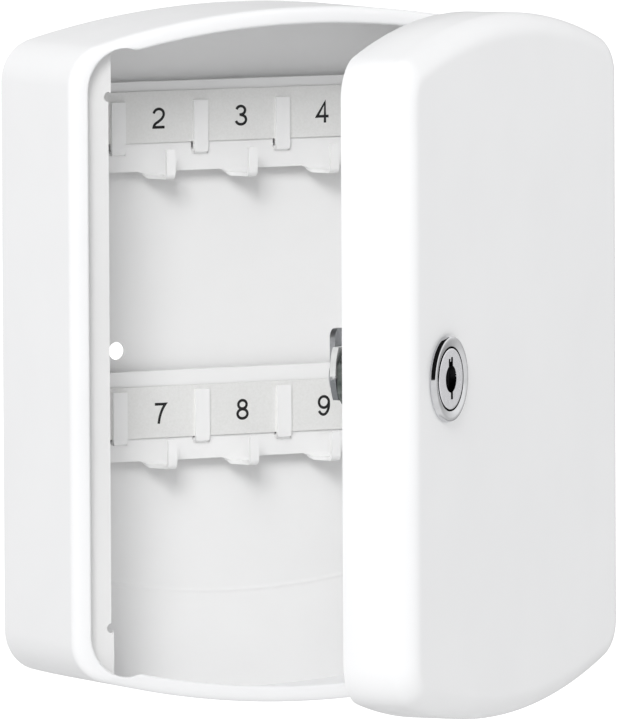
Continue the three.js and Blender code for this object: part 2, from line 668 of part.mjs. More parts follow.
function cabinetCase() {
  const group = new THREE.Group();
  group.add(named('case_shell', caseShell(), COATED_STEEL));
  group.add(named('back_plate', backPlate(), COATED_INSIDE));
  group.add(named('strike_channel', strikeChannel(), COATED_INSIDE));
  group.add(named('hinge_channel', hingeChannel(), COATED_INSIDE));
  const rail = hookRail();
  const upper = named('hook_rail_upper', rail, COATED_INSIDE);
  const lower = named('hook_rail_lower', rail, COATED_INSIDE);
  lower.position.z = -ROW_PITCH;
  group.add(upper, lower);
  group.add(named('label_strip_upper', labelStrip(LABEL_BOTTOM_UPPER), PAPER));
  group.add(named('label_strip_lower', labelStrip(LABEL_BOTTOM_LOWER), PAPER));
  for (const [place, z] of [['upper', HINGE_Z], ['lower', -HINGE_Z]]) {
    group.add(named(`hinge_${place}_case_leaf`, caseLeaf(z), ZINC));
    group.add(named(`hinge_${place}_pin`, hingePin(z), ZINC));
  }
  return group;
}

function cabinetDoor() {
  const pieces = new THREE.Group();
  pieces.add(named('door_shell', doorShell(), COATED_STEEL));
  pieces.add(named('hinge_upper_door_leaf', doorLeaf(HINGE_Z), ZINC));
  pieces.add(named('hinge_lower_door_leaf', doorLeaf(-HINGE_Z), ZINC));
  pieces.add(named('lock_housing', lockHousing(), CHROME));
  pieces.add(named('lock_nut', lockNut(), ZINC));
  pieces.add(named('lock_plug', lockPlug(), CHROME));
  for (let i = 0; i < WAFERS; i += 1) {
    pieces.add(named(`lock_wafer_${i + 1}`, lockWafer(i), BRASS));
  }
  pieces.add(named('lock_stop_washer', stopWasher(), CHROME));
  pieces.add(named('lock_cam', lockCam(), ZINC));
  pieces.add(named('lock_cam_screw', camScrew(), ZINC));
  pieces.position.set(-HINGE_X, -HINGE_Y, 0);

  const swing = new THREE.Group();
  swing.add(pieces);
  swing.position.set(HINGE_X, HINGE_Y, 0);
  swing.rotation.z = THREE.MathUtils.degToRad(DOOR_OPEN_DEG);
  return swing;
}

const cabinet = new THREE.Group();
cabinet.add(cabinetCase(), cabinetDoor());

export default cabinet;
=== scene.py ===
"""A wall-mounted key cabinet with its door standing open: the looks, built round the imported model.

Shapes are worked out in millimetres in the cabinet's frame (X across, -Y to the front, Z up) and
the door's pieces are drawn in the shut door's place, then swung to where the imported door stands.
"""

import json
import math

import bmesh
import bpy
from mathutils import Matrix, Vector


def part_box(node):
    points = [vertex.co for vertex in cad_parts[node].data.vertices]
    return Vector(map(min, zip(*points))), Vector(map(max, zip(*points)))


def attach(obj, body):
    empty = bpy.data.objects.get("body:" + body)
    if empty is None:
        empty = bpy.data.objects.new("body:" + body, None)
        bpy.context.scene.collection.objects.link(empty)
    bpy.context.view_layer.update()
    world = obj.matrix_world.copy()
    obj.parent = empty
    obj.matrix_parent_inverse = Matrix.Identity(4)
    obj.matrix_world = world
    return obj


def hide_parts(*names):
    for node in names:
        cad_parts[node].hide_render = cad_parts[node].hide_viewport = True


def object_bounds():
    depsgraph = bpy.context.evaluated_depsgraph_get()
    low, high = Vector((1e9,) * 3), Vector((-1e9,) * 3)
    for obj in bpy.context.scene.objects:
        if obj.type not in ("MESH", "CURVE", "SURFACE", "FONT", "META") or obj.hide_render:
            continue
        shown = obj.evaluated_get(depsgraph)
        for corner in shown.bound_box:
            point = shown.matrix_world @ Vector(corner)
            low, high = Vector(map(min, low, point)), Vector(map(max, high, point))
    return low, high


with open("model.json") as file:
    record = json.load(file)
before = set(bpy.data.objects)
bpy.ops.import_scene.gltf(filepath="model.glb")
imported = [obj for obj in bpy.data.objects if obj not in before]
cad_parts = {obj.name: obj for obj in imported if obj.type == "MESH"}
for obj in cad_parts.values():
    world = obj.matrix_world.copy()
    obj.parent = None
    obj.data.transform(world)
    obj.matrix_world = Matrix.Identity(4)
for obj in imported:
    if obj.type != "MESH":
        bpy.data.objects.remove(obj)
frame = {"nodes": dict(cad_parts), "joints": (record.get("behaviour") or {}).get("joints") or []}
cad_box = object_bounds()

MM = 0.001

# ---- Measures taken from the frame, in millimetres ----


def box_mm(node):
    low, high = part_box(node)
    return low / MM, high / MM


def joint(name):
    return next(j for j in frame["joints"] if j["name"] == name)


case_low, case_high = box_mm("case_shell")
WIDTH = case_high.x - case_low.x
HEIGHT = case_high.z - case_low.z
CASE_FRONT = case_low.y

HINGE = Vector(joint("door_swing")["pos_m"]) / MM
OPEN_ANGLE = -math.radians(joint("door_swing")["range_deg"][0])
SWING = Matrix.Translation(HINGE) @ Matrix.Rotation(OPEN_ANGLE, 4, "Z") @ Matrix.Translation(-HINGE)


def shut_box(node):
    """The node's lowest and highest corner with the door swung shut."""
    unswing = SWING.inverted()
    points = [unswing @ (v.co / MM) for v in frame["nodes"][node].data.vertices]
    low = Vector(min(p[i] for p in points) for i in range(3))
    high = Vector(max(p[i] for p in points) for i in range(3))
    return low, high


door_low, door_high = shut_box("door_shell")
DOOR_BACK = door_high.y
DOOR_FRONT = door_low.y
DOOR_DEPTH = DOOR_BACK - DOOR_FRONT
LOCK_X = (SWING.inverted() @ (Vector(joint("lock_turn")["pos_m"]) / MM)).x

# ---- The makers' dimensions, in millimetres ----

SHEET = 1.0
ARCH_RADIUS = 260
CORNER_RADIUS = 12
LIP_WIDTH = 5.1
OPENING_TOP = 92.2
OPENING_CORNER_TOP = 87
OPENING_ARCH_HALF = 54.5
OPENING_ARCH_SPRING = 86.5
DOOR_FILLET = 6.6
DOOR_FACE_INSET = DOOR_FILLET + 0.8     # where the door's flat face begins
LOCK_HOLE_RADIUS = 9.6

CREASE_TOP = 68.7
CREASE_RADIUS = 225
BORDER_RISE = 3.2
CREASE_RIDGE = 0.16
CREASE_RIDGE_HALF = 0.5
HOOK_CENTRE_X = -3.6
HOOK_PITCH = 26
HOOKS_PER_ROW = 5
SCREW_HOLE_RADIUS = 2.5
SCREW_HOLE_HALF_PITCH = 37

# Where the outline's arch and its round corners have their centres, and where they meet
ARCH_Z = HEIGHT / 2 - ARCH_RADIUS
ARCH_TO_CORNER = ARCH_RADIUS - CORNER_RADIUS
CORNER_X = WIDTH / 2 - CORNER_RADIUS
CORNER_Z = ARCH_Z + math.sqrt(ARCH_TO_CORNER ** 2 - CORNER_X ** 2)

# Points along one quarter of an outline
SIDE_STEPS = 8
CORNER_STEPS = 14
WAVE_STEPS = 6
ARCH_STEPS = 30

SHARP_DEG = 35                # faces that meet at a greater angle keep a hard edge
BEVEL_DEG = 40                # edges that turn by more than this are softened
CUTTER_SEGMENTS = 64          # round a drilled hole
TINY = 1e-6


# ---- Mesh helpers ----


def piece(name, vertices, faces, body, slot, material, replaces=(), swung=False, sharp_deg=SHARP_DEG):
    """A new piece from vertices in millimetres, riding on a CAD body."""
    place = SWING if swung else Matrix.Identity(4)
    mesh = bpy.data.meshes.new(name)
    mesh.from_pydata([(place @ Vector(v)) * MM for v in vertices], [], faces)
    mesh.materials.append(material)
    tidy_normals(mesh)
    mesh.shade_smooth()
    mesh.set_sharp_from_angle(angle=math.radians(sharp_deg))
    made = bpy.data.objects.new(name, mesh)
    bpy.context.scene.collection.objects.link(made)
    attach(made, body)
    if replaces:
        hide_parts(*replaces)
    return made


def tidy_normals(mesh):
    work = bmesh.new()
    work.from_mesh(mesh)
    bmesh.ops.recalc_face_normals(work, faces=work.faces)
    work.to_mesh(mesh)
    work.free()


def apply_modifiers(made):
    """Bakes the modifiers into the piece's own mesh."""
    graph = bpy.context.evaluated_depsgraph_get()
    graph.update()
    baked = bpy.data.meshes.new_from_object(made.evaluated_get(graph))
    made.modifiers.clear()
    made.data = baked


def cut(made, cutters, swung=False):
    """Cuts closed solids, each given as (vertices, faces) in millimetres, out of a piece."""
    place = SWING if swung else Matrix.Identity(4)
    tools = []
    for vertices, faces in cutters:
        mesh = bpy.data.meshes.new("cutter")
        mesh.from_pydata([(place @ Vector(v)) * MM for v in vertices], [], faces)
        tidy_normals(mesh)
        tool = bpy.data.objects.new("cutter", mesh)
        bpy.context.scene.collection.objects.link(tool)
        tools.append(tool)
        modifier = made.modifiers.new("cut", "BOOLEAN")
        modifier.operation = "DIFFERENCE"
        modifier.solver = "EXACT"
        modifier.object = tool
    apply_modifiers(made)
    for tool in tools:
        bpy.data.objects.remove(tool)
    made.data.shade_smooth()
    made.data.set_sharp_from_angle(angle=math.radians(SHARP_DEG))


def bevel(made, width, segments=2):
    modifier = made.modifiers.new("edges", "BEVEL")
    modifier.width = width * MM
    modifier.segments = segments
    modifier.limit_method = "ANGLE"
    modifier.angle_limit = math.radians(BEVEL_DEG)
    modifier.harden_normals = True


def loft(rings, ends_closed=False):
    """Vertices and faces of a skin over closed rings with equal numbers of points."""
    count = len(rings[0])
    vertices = [p for ring in rings for p in ring]
    faces = []
    spans = len(rings) if ends_closed else len(rings) - 1
    for i in range(spans):
        here, there = i * count, (i + 1) % len(rings) * count
        for k in range(count):
            faces.append((here + k, here + (k + 1) % count, there + (k + 1) % count, there + k))
    return vertices, faces


def capped_loft(rings):
    vertices, faces = loft(rings)
    count = len(rings[0])
    last = len(vertices) - count
    faces.append(tuple(range(count))[::-1])
    faces.append(tuple(range(last, last + count)))
    return vertices, faces


def add_face(faces, *corners):
    """Adds a face over the corners that differ, if they are enough for one."""
    corners = tuple(dict.fromkeys(corners))
    if len(corners) > 2:
        faces.append(corners)


def lathe(profile, x, z, segments):
    """A solid of revolution round the line through (x, z) along Y; profile is [radius, y] pairs."""
    vertices, faces, rows = [], [], []
    for radius, y in profile:
        if radius < TINY:
            rows.append([len(vertices)])
            vertices.append((x, y, z))
            continue
        rows.append(list(range(len(vertices), len(vertices) + segments)))
        for k in range(segments):
            turn = 2 * math.pi * k / segments
            vertices.append((x + radius * math.cos(turn), y, z + radius * math.sin(turn)))
    for near, far in zip(rows, rows[1:]):
        for k in range(segments):
            one, two = (row[k % len(row)] for row in (near, far))
            next_one, next_two = (row[(k + 1) % len(row)] for row in (near, far))
            add_face(faces, one, next_one, next_two, two)
    return vertices, faces


def brick(x0, x1, y0, y1, z0, z1):
    vertices = [(x, y, z) for x in (x0, x1) for y in (y0, y1) for z in (z0, z1)]
    faces = [(0, 1, 3, 2), (4, 6, 7, 5), (0, 4, 5, 1), (2, 3, 7, 6), (0, 2, 6, 4), (1, 5, 7, 3)]
    return vertices, faces


def rod(radius, x, z, y0, y1):
    """A closed cylinder along Y."""
    return lathe([(0, y0), (radius, y0), (radius, y1), (0, y1)], x, z, CUTTER_SEGMENTS)


def arc(cx, cz, radius, start, end, steps):
    """Points on an arc, its first one left out."""
    turns = [start + (end - start) * (i + 1) / steps for i in range(steps)]
    return [(cx + radius * math.cos(t), cz + radius * math.sin(t)) for t in turns]


# ---- Outlines shared by case and door ----


def mirrored(quarter):
    """A whole ring from the quarter that runs from the right side's middle to the top's middle."""
    second = [(-x, z) for x, z in reversed(quarter[:-1])]
    third = [(-x, -z) for x, z in quarter[1:]]
    fourth = [(x, -z) for x, z in reversed(quarter[1:-1])]
    return quarter + second + third + fourth


def arched(inset):
    """The outline of case and door, drawn in by an inset: straight sides, arched top and bottom."""
    turn = math.atan2(CORNER_Z - ARCH_Z, CORNER_X)
    side = [(WIDTH / 2 - inset, CORNER_Z * i / SIDE_STEPS) for i in range(SIDE_STEPS + 1)]
    corner = arc(CORNER_X, CORNER_Z, CORNER_RADIUS - inset, 0, turn, CORNER_STEPS)
    arch = arc(0, ARCH_Z, ARCH_RADIUS - inset, turn, math.pi / 2, WAVE_STEPS + ARCH_STEPS)
    return mirrored(side + corner + arch)


def opening():
    """The front opening: round corners, then a small wave into a flatter arch."""
    half = WIDTH / 2 - LIP_WIDTH
    corner_x = half - CORNER_RADIUS
    corner_z = OPENING_CORNER_TOP - CORNER_RADIUS
    rise = OPENING_TOP - OPENING_ARCH_SPRING
    radius = (OPENING_ARCH_HALF ** 2 + rise ** 2) / (2 * rise)
    arch_z = OPENING_TOP - radius
    turn = math.atan2(OPENING_ARCH_SPRING - arch_z, OPENING_ARCH_HALF)
    slope = OPENING_ARCH_HALF / radius
    side = [(half, corner_z * i / SIDE_STEPS) for i in range(SIDE_STEPS + 1)]
    corner = arc(corner_x, corner_z, CORNER_RADIUS, 0, math.pi / 2, CORNER_STEPS)
    wave = []
    for i in range(WAVE_STEPS):
        t = (i + 1) / WAVE_STEPS
        ease = t * t * (3 - 2 * t)
        x = corner_x + (OPENING_ARCH_HALF - corner_x) * t
        along_arch = OPENING_ARCH_SPRING - slope * (x - OPENING_ARCH_HALF)
        wave.append((x, OPENING_CORNER_TOP + (along_arch - OPENING_CORNER_TOP) * ease))
    arch = arc(0, arch_z, radius, turn, math.pi / 2, ARCH_STEPS)
    return mirrored(side + corner + wave + arch)


def ring(outline, y):
    return [(x, y, z) for x, z in outline]


def between(first, second, share, y):
    """The ring at y that lies a share of the way from one outline to another."""
    return [(a[0] + (b[0] - a[0]) * share, y, a[1] + (b[1] - a[1]) * share) for a, b in zip(first, second)]


# ---- Materials ----


def node_material(name):
    material = bpy.data.materials.new(name)
    material.use_nodes = True
    tree = material.node_tree
    shader = tree.nodes["Principled BSDF"]
    coords = tree.nodes.new("ShaderNodeTexCoord")
    return material, tree, shader, coords.outputs["Object"]


def noise(tree, coords, wavelength_mm, detail=2.0, rough=0.5):
    node = tree.nodes.new("ShaderNodeTexNoise")
    node.inputs["Scale"].default_value = 1 / (wavelength_mm * MM)
    node.inputs["Detail"].default_value = detail
    node.inputs["Roughness"].default_value = rough
    tree.links.new(coords, node.inputs["Vector"])
    return node.outputs["Fac"]


def remap(tree, value, low, high):
    """Stretches a noise, which seldom leaves its middle, over the range from low to high."""
    node = tree.nodes.new("ShaderNodeMapRange")
    node.inputs["From Min"].default_value = 0.3
    node.inputs["From Max"].default_value = 0.7
    node.inputs["To Min"].default_value = low
    node.inputs["To Max"].default_value = high
    tree.links.new(value, node.inputs["Value"])
    return node.outputs["Result"]


def tint(tree, value, dark, light):
    node = tree.nodes.new("ShaderNodeMix")
    node.data_type = "RGBA"
    node.inputs["A"].default_value = (*dark, 1)
    node.inputs["B"].default_value = (*light, 1)
    tree.links.new(value, node.inputs["Factor"])
    return node.outputs["Result"]


def bump(tree, height, depth_mm, strength=1.0, below=None):
    node = tree.nodes.new("ShaderNodeBump")
    node.inputs["Distance"].default_value = depth_mm * MM
    node.inputs["Strength"].default_value = strength
    tree.links.new(height, node.inputs["Height"])
    if below is not None:
        tree.links.new(below, node.inputs["Normal"])
    return node.outputs["Normal"]


def powder_coat(name, dark, light, roughness, peel):
    """Baked powder: faint orange peel and slight unevenness of tone and gloss."""
    material, tree, shader, coords = node_material(name)
    tone = remap(tree, noise(tree, coords, wavelength_mm=38, detail=3), 0, 1)
    tree.links.new(tint(tree, tone, dark, light), shader.inputs["Base Color"])
    gloss = remap(tree, noise(tree, coords, wavelength_mm=5, detail=3), roughness - 0.04, roughness + 0.05)
    tree.links.new(gloss, shader.inputs["Roughness"])
    fine = bump(tree, noise(tree, coords, wavelength_mm=0.35, detail=1), 0.004, peel)
    coarse = bump(tree, noise(tree, coords, wavelength_mm=1.6, detail=2), 0.02, peel, fine)
    tree.links.new(coarse, shader.inputs["Normal"])
    shader.inputs["IOR"].default_value = 1.45
    shader.inputs["Coat Weight"].default_value = 0.12
    shader.inputs["Coat Roughness"].default_value = 0.25
    return material


def metal(name, dark, light, roughness, grain_mm, depth_mm, bare=1.0):
    """Metal with a fine grain and cloudy gloss; bare is 1 for clean metal and less for a dulled one."""
    material, tree, shader, coords = node_material(name)
    shader.inputs["Metallic"].default_value = bare
    tone = remap(tree, noise(tree, coords, wavelength_mm=2.5, detail=4), 0, 1)
    tree.links.new(tint(tree, tone, dark, light), shader.inputs["Base Color"])
    gloss = remap(tree, noise(tree, coords, wavelength_mm=0.9, detail=4), roughness * 0.75, roughness * 1.3)
    tree.links.new(gloss, shader.inputs["Roughness"])
    tree.links.new(bump(tree, noise(tree, coords, grain_mm, detail=3), depth_mm), shader.inputs["Normal"])
    return material


LOW_END_COLOUR = (0.20, 0.21, 0.22)
LOW_END_RAGGED = 0.3              # how far the dark end's edge wanders, in heights of the piece


def oiled_below(material, share):
    """Darkens a metal's lower end, up to about a share of the piece's height."""
    tree = material.node_tree
    shader = tree.nodes["Principled BSDF"]
    clean = shader.inputs["Base Color"].links[0].from_socket
    split = tree.nodes.new("ShaderNodeSeparateXYZ")
    coords = tree.nodes.new("ShaderNodeTexCoord")
    tree.links.new(coords.outputs["Generated"], split.inputs["Vector"])
    rag = noise(tree, coords.outputs["Object"], wavelength_mm=0.8, detail=4, rough=0.7)
    edge = tree.nodes.new("ShaderNodeMath")
    edge.operation = "MULTIPLY_ADD"
    tree.links.new(rag, edge.inputs[0])
    edge.inputs[1].default_value = LOW_END_RAGGED
    tree.links.new(split.outputs["Z"], edge.inputs[2])
    lit = tree.nodes.new("ShaderNodeMapRange")
    # The noise stays between about a third and two thirds of its weight
    lit.inputs["From Min"].default_value = share + LOW_END_RAGGED / 3
    lit.inputs["From Max"].default_value = share + LOW_END_RAGGED * 2 / 3
    tree.links.new(edge.outputs["Value"], lit.inputs["Value"])
    mixed = tint(tree, lit.outputs["Result"], LOW_END_COLOUR, (1, 1, 1))
    tree.links.new(clean, mixed.node.inputs["B"])
    tree.links.new(mixed, shader.inputs["Base Color"])


def card(name):
    """Matt printed card: short fibres and a slight cloudiness."""
    material, tree, shader, coords = node_material(name)
    tone = remap(tree, noise(tree, coords, wavelength_mm=0.7, detail=5, rough=0.7), 0, 1)
    tree.links.new(tint(tree, tone, (0.80, 0.80, 0.785), (0.86, 0.86, 0.85)), shader.inputs["Base Color"])
    shader.inputs["Roughness"].default_value = 0.75
    fibres = noise(tree, coords, wavelength_mm=0.25, detail=4)
    tree.links.new(bump(tree, fibres, 0.01), shader.inputs["Normal"])
    return material


def ink(name):
    material, tree, shader, coords = node_material(name)
    tone = remap(tree, noise(tree, coords, wavelength_mm=0.2, detail=4), 0, 1)
    uneven = tint(tree, tone, (0.004, 0.004, 0.004), (0.012, 0.012, 0.013))
    tree.links.new(uneven, shader.inputs["Base Color"])
    shader.inputs["Roughness"].default_value = 0.6
    return material


# Coats: darkest and lightest tone, roughness, strength of the orange peel
OUTSIDE = powder_coat("powder_coat_outside", (0.872, 0.875, 0.884), (0.892, 0.895, 0.903), 0.36, 0.30)
# painted light: the inside coat is a lighter copy of the outside one, brightening the inside as more light
# would
INSIDE_LIT_COAT = powder_coat("powder_coat_inside_painted_light", (0.922, 0.922, 0.92), (0.947, 0.947, 0.945), 0.42, 0.35)
# painted shade: the strike and hinge channels get a darker copy of the inside coat, for the shade they lie in
# behind the lip
CHANNEL_SHADE_COAT = powder_coat("powder_coat_channel_painted_shade", (0.815, 0.815, 0.813), (0.84, 0.84, 0.838), 0.42, 0.35)

# Metals: darkest and lightest tone, roughness, size and depth of the grain in millimetres
CHROME = metal("polished_chrome", (0.68, 0.685, 0.70), (0.74, 0.745, 0.76), 0.07, 0.6, 0.001)
SATIN_CHROME = metal("satin_chrome", (0.87, 0.87, 0.90), (0.91, 0.91, 0.94), 0.22, 0.3, 0.001)
ZINC = metal("zinc_plate", (0.54, 0.55, 0.57), (0.64, 0.65, 0.67), 0.55, 0.35, 0.006)
STEEL = metal("blank_steel", (0.78, 0.80, 0.79), (0.90, 0.91, 0.90), 0.5, 0.5, 0.006, bare=0.3)
# the stop washer's steel is made darker towards its lower end
oiled_below(STEEL, 0.42)
# painted shade: the chromed barrel gets near-black steel, for the shade among its threads
BARREL_SHADE_STEEL = metal("barrel_painted_shade_steel", (0.10, 0.12, 0.11), (0.24, 0.26, 0.25), 0.36, 0.5, 0.008)
BRASS = metal("stamped_brass", (0.50, 0.36, 0.13), (0.66, 0.50, 0.22), 0.32, 0.3, 0.006)
# painted shade: near-black metal laid on the faces of the rosette's bore, the keyway and the plug's side,
# where the lock lies in shade
PAINTED_SHADE_METAL = metal("painted_shade_metal", (0.010, 0.010, 0.011), (0.035, 0.035, 0.038), 0.45, 0.3, 0.01)

CARD = card("label_card")
INK = ink("label_ink")


# ---- Case ----


def hinge_rooms():
    """The notches that leave room for the hinges' knuckles, as closed boxes."""
    inward, outward, reach, above = 3.3, 4, 2.9, 1.2
    rooms = []
    for place in ("upper", "lower"):
        low, high = box_mm(f"hinge_{place}_pin")
        across = (HINGE.x - inward, HINGE.x + outward)
        through = (HINGE.y - reach, HINGE.y + reach)
        rooms.append(brick(*across, *through, low.z - above, high.z + above))
    return rooms


def make_case():
    """The case: a deep wall round the back, its front edge rolled in to a lip round the opening."""
    outer = arched(0)
    inner = arched(SHEET)
    hole = opening()
    edge = 0.2
    inner_front = 4.6             # how far behind the front the wall's inside ends
    rings = [
        ring(inner, -edge),
        between(outer, inner, 0.8, 0),
        between(outer, inner, 0.2, 0),
        ring(outer, -edge),
        ring(outer, CASE_FRONT / 2),
    ]
    # The rolled front edge: (share of the way from outline to opening, distance behind the front)
    crown = [
        (0, 3.4), (0, 2.9), (0.02, 2.4), (0.06, 1.9), (0.12, 1.45), (0.20, 1.05), (0.30, 0.72),
        (0.42, 0.46), (0.56, 0.25), (0.70, 0.10), (0.80, 0.02), (0.86, 0), (0.915, 0.06), (0.96, 0.20),
        (0.988, 0.42), (1, 0.7), (1, 1.0), (0.98, 1.15),
    ]
    underside = [(0.86, 1.15), (0.60, 1.35), (0.42, 1.65), (0.30, 2.1), (0.22, 2.8), (0.196, 3.8)]
    rings += [between(outer, hole, share, CASE_FRONT + behind) for share, behind in crown + underside]
    rings.append(ring(inner, CASE_FRONT + inner_front))
    rings.append(ring(inner, CASE_FRONT / 2))
    vertices, faces = loft(rings, ends_closed=True)
    made = piece("case_body", vertices, faces, "case", "coated_steel", OUTSIDE, ["case_shell"])
    cut(made, hinge_rooms())


def crease_z(x):
    """Height of the arched crease where the back's flat middle ends."""
    return CREASE_TOP - CREASE_RADIUS + math.sqrt(CREASE_RADIUS ** 2 - (x - HOOK_CENTRE_X) ** 2)


def outline_top(x, inset):
    """Height of the outline's top at x, drawn in by an inset."""
    corner_radius = CORNER_RADIUS - inset
    join_x = CORNER_X + corner_radius * CORNER_X / ARCH_TO_CORNER
    if abs(x) <= join_x:
        return ARCH_Z + math.sqrt((ARCH_RADIUS - inset) ** 2 - x * x)
    side = min(abs(x) - CORNER_X, corner_radius)
    return CORNER_Z + math.sqrt(max(0, corner_radius ** 2 - side ** 2))


def make_back():
    """The back sheet: flat on the wall in the middle, its top and bottom borders bent forward."""
    inset = SHEET - 0.05
    half = WIDTH / 2 - inset
    columns, flat_rows, bend_rows, border_rows = 72, 8, 12, 8
    bend = 1.1
    slope = BORDER_RISE / (HEIGHT / 2 - CREASE_TOP)
    xs = [half * math.sin(math.pi / 2 * (2 * i / columns - 1)) for i in range(columns + 1)]
    rows = []
    for x in xs:
        fold, top = crease_z(x), outline_top(x, inset)
        border = max(top - fold - bend, 0.1)
        heights = [(fold - bend) * i / flat_rows for i in range(flat_rows + 1)]
        heights += [fold - bend + 2 * bend * (i + 1) / bend_rows for i in range(bend_rows)]
        heights += [fold + bend + border * (i + 1) / border_rows for i in range(border_rows)]
        heights = [-z for z in reversed(heights[1:])] + heights
        rows.append([(x, z, sheet_rise(abs(z) - fold, bend, slope)) for z in heights])
    front = [[(x, -SHEET - rise, z) for x, z, rise in row] for row in rows]
    back = [[(x, -rise, z) for x, z, rise in row] for row in rows]
    loops = [near + far[::-1] for near, far in zip(front, back)]
    vertices, faces = capped_loft(loops)
    made = piece("back_sheet", vertices, faces, "case", "coated_inside", INSIDE_LIT_COAT, ["back_plate"])
    reach = 5 * SHEET
    holes = [
        rod(SCREW_HOLE_RADIUS, HOOK_CENTRE_X + side * SCREW_HOLE_HALF_PITCH, 0, -reach, reach)
        for side in (-1, 1)
    ]
    cut(made, holes)


def sheet_rise(past, bend, slope):
    """How far the sheet has come forward, past millimetres beyond the crease, which is a low ridge."""
    if past <= -bend:
        return 0
    if past >= bend:
        return slope * past
    ridge = CREASE_RIDGE * math.exp(-(past / CREASE_RIDGE_HALF) ** 2)
    return slope * (past + bend) ** 2 / (4 * bend) + ridge


# ---- Hook rails ----


def hook_x(index):
    return HOOK_CENTRE_X + (index - (HOOKS_PER_ROW - 1) / 2) * HOOK_PITCH


CLIP_WIDTH = 4.4
CLIP_GAP = 0.35
CLIP_COLUMNS = 4
CLIP_FORWARD = 1.45           # from the rail's middle plane to the tongue's
WINDOW_FOOT = 7.6             # this and the next four are heights above the rail's lowest point
WINDOW_TOP = 22.2
CLIP_TOP = 21.6
HOOK_TIP = 8.4
PLATE_FOOT = 2
HEM_DEPTH = 1.6               # how far the top hem reaches back
LABEL_ROOM = 0.3              # between the label strip and the plate
ROOT_BEND = 1.3               # middle radius of the hook's two bends
HOOK_ROOT_HALF = 6.3
HOOK_HALF = 1.35
HOOK_TAPER = 6.6              # length along the sheet over which the root narrows to the tongue
HOOK_TIP_RADIUS = 0.5
HOOK_COLUMNS = 8


def make_rail(row):
    """A hook rail bent from one sheet: plate, clips that hold the label strip, hooks and top hem."""
    low, high = box_mm(f"hook_rail_{row}")
    plate_y = box_mm(f"label_strip_{row}")[1].y + LABEL_ROOM + SHEET / 2
    bottom = low.z + PLATE_FOOT
    window_foot, window_top = low.z + WINDOW_FOOT, low.z + WINDOW_TOP
    vertices, faces, index = [], [], {}

    def vertex(x, y, z):
        key = (round(x, 4), round(y, 4), round(z, 4))
        if key not in index:
            index[key] = len(vertices)
            vertices.append((x, y, z))
        return index[key]

    def strip(rows):
        """Adds a skin over rows of points."""
        for near, far in zip(rows, rows[1:]):
            for k in range(len(near) - 1):
                points = (near[k], near[k + 1], far[k + 1], far[k])
                add_face(faces, *(vertex(*point) for point in points))

    left, right = low.x, high.x
    hooks = [hook_x(i) for i in range(HOOKS_PER_ROW)]
    clips = [(a + b) / 2 for a, b in zip(hooks, hooks[1:])]
    xs = {left, right}
    for x in hooks:
        for k in range(HOOK_COLUMNS + 1):
            xs.add(min(max(x + HOOK_ROOT_HALF * (2 * k / HOOK_COLUMNS - 1), left), right))
    for x in clips:
        xs |= {x - CLIP_WIDTH / 2 - CLIP_GAP, x + CLIP_WIDTH / 2 + CLIP_GAP}
        xs |= {x + CLIP_WIDTH * (k / CLIP_COLUMNS - 0.5) for k in range(CLIP_COLUMNS + 1)}
    xs = sorted(xs)
    fold = high.z - SHEET / 2
    # With narrow rows of faces along the plate's foot and below the windows
    margin = 0.7
    zs = [bottom, bottom + margin, window_foot - margin, window_foot, window_top, fold]
    for x0, x1 in zip(xs, xs[1:]):
        middle = (x0 + x1) / 2
        in_window = any(abs(middle - x) < CLIP_WIDTH / 2 + CLIP_GAP for x in clips)
        for z0, z1 in zip(zs, zs[1:]):
            if in_window and z0 == window_foot:
                continue
            strip([[(x0, plate_y, z0), (x1, plate_y, z0)], [(x0, plate_y, z1), (x1, plate_y, z1)]])
        strip([[(x0, y, fold), (x1, y, fold)] for y in (plate_y, plate_y + HEM_DEPTH)])
    for x in hooks:
        strip(hook_rows(x, plate_y, low, left, right))
    for x in clips:
        strip(clip_rows(x, plate_y, window_foot, low.z + CLIP_TOP))
    made = piece(f"hook_rail_{row}_sheet", vertices, faces, "case", "coated_inside", INSIDE_LIT_COAT,
                 [f"hook_rail_{row}"], sharp_deg=50)
    solid = made.modifiers.new("sheet", "SOLIDIFY")
    solid.thickness = (SHEET - 0.02) * MM
    solid.offset = 0
    solid.use_even_offset = True
    bevel(made, 0.16)


def hook_rows(x, plate_y, low, left, right):
    """Rows of points down the hook's root, forward along its arm and up its tongue."""
    bend, root_steps, tongue_steps = ROOT_BEND, 10, 6
    arm_z = low.z + SHEET / 2
    tongue_y = low.y + SHEET / 2
    corner_z = low.z + HOOK_TIP - HOOK_TIP_RADIUS
    path = [(plate_y, low.z + PLATE_FOOT)]
    for i in range(root_steps):
        t = (i + 1) / root_steps * math.pi / 2
        path.append((plate_y - bend * (1 - math.cos(t)), arm_z + bend - bend * math.sin(t)))
    for share in (0.3, 0.6, 0.85, 1):
        path.append((plate_y - bend + (tongue_y + 2 * bend - plate_y) * share, arm_z))
    for i in range(tongue_steps):
        t = (i + 1) / tongue_steps * math.pi / 2
        path.append((tongue_y + bend * (1 - math.sin(t)), arm_z + bend * (1 - math.cos(t))))
    path += [(tongue_y, corner_z - 2), (tongue_y, corner_z)]
    path += [(tongue_y, corner_z + HOOK_TIP_RADIUS * math.sin(t)) for t in (0.5, 1.0, math.pi / 2)]
    rows, travelled = [], 0
    for i, (y, z) in enumerate(path):
        if i:
            travelled += math.dist(path[i - 1], path[i])
        share = min(travelled / HOOK_TAPER, 1)
        half = HOOK_HALF + (HOOK_ROOT_HALF - HOOK_HALF) * (1 - share ** 0.65) ** 1.5
        over = z - corner_z
        if y == tongue_y and over > 0:
            half += math.sqrt(max(HOOK_TIP_RADIUS ** 2 - over ** 2, 0)) - HOOK_TIP_RADIUS
        row = [x + half * (2 * k / HOOK_COLUMNS - 1) for k in range(HOOK_COLUMNS + 1)]
        rows.append([(min(max(c, left), right), y, z) for c in row])
    return rows


